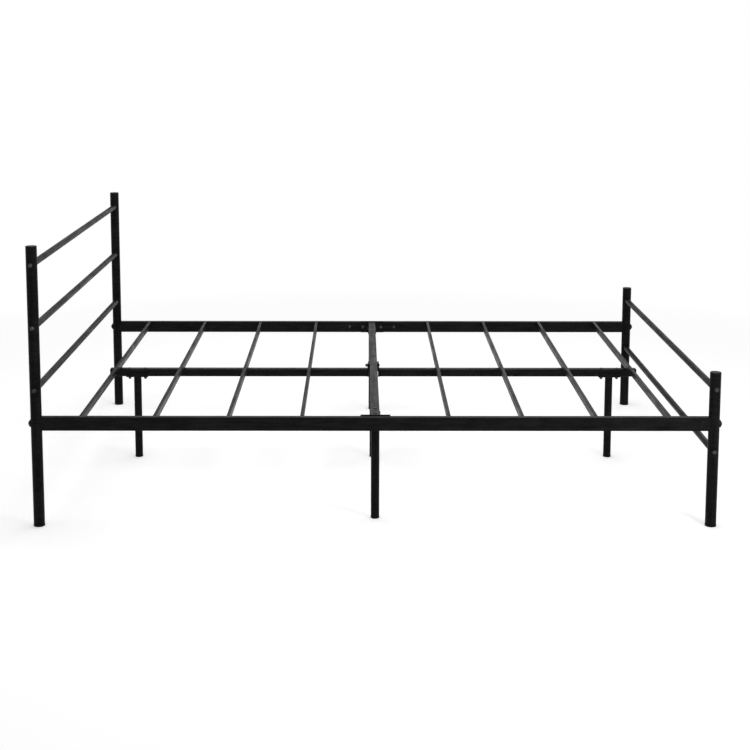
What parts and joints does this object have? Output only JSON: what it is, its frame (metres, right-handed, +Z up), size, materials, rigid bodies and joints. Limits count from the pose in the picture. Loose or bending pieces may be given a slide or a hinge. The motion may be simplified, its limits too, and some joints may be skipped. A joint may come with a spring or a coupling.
{
  "type": "metal bed frame",
  "caption": "Low metal bed frame with a three-bar head end, a two-bar foot end, split side rails, flat slats on a centre rail, and nine feet.",
  "frame": {"origin": "centre of the bed's outline on the floor", "axes": "+X along the bed towards the foot end, +Z up, +Y across the bed so that the frame is right-handed; nodes named left are at -Y and nodes named right are at +Y"},
  "size_m": [1.989, 1.395, 0.818],
  "materials": {
    "powder_coat": "satin black powder coat with a fine grain",
    "black_plastic": "moulded matte black",
    "black_fastener": "black oxide steel, semi-gloss",
    "washer_coat": "black zinc, satin",
    "zinc_nut": "bright zinc plate"
  },
  "bodies": {
    "root": {"head_post_left": "powder_coat", "head_post_right": "powder_coat", "foot_post_left": "powder_coat", "foot_post_right": "powder_coat", "head_bar_top": "powder_coat", "head_bar_middle": "powder_coat", "head_bar_lower": "powder_coat", "foot_bar_upper": "powder_coat", "foot_bar_lower": "powder_coat", "side_rail_head_left": "powder_coat", "side_rail_head_right": "powder_coat", "side_rail_foot_left": "powder_coat", "side_rail_foot_right": "powder_coat", "rail_sleeve_left": "powder_coat", "rail_sleeve_right": "powder_coat", "crossbar": "powder_coat", "centre_rail_head": "powder_coat", "centre_rail_foot": "powder_coat", "slat_1": "powder_coat", "slat_2": "powder_coat", "slat_3": "powder_coat", "slat_4": "powder_coat", "slat_5": "powder_coat", "slat_6": "powder_coat", "slat_7": "powder_coat", "slat_8": "powder_coat", "centre_leg_head": "powder_coat", "centre_leg_middle": "powder_coat", "centre_leg_foot": "powder_coat", "side_leg_left": "powder_coat", "side_leg_right": "powder_coat", "post_caps": "black_plastic", "post_feet": "black_plastic", "leg_feet": "black_plastic", "centre_rail_caps": "black_plastic", "slat_end_plugs": "black_plastic", "rail_hole_plugs": "black_plastic", "corner_bolts": "black_fastener", "corner_washers": "washer_coat", "corner_barrel_nuts": "zinc_nut", "bar_bolts": "black_fastener", "bar_washers": "washer_coat", "bar_end_nuts": "zinc_nut", "rail_joint_bolts": "black_fastener", "rail_weld_nuts": "zinc_nut", "leg_bolts": "black_fastener", "leg_dome_nuts": "black_fastener", "hub_bolt": "black_fastener", "hub_dome_nut": "black_fastener"}
  },
  "joints": []
}
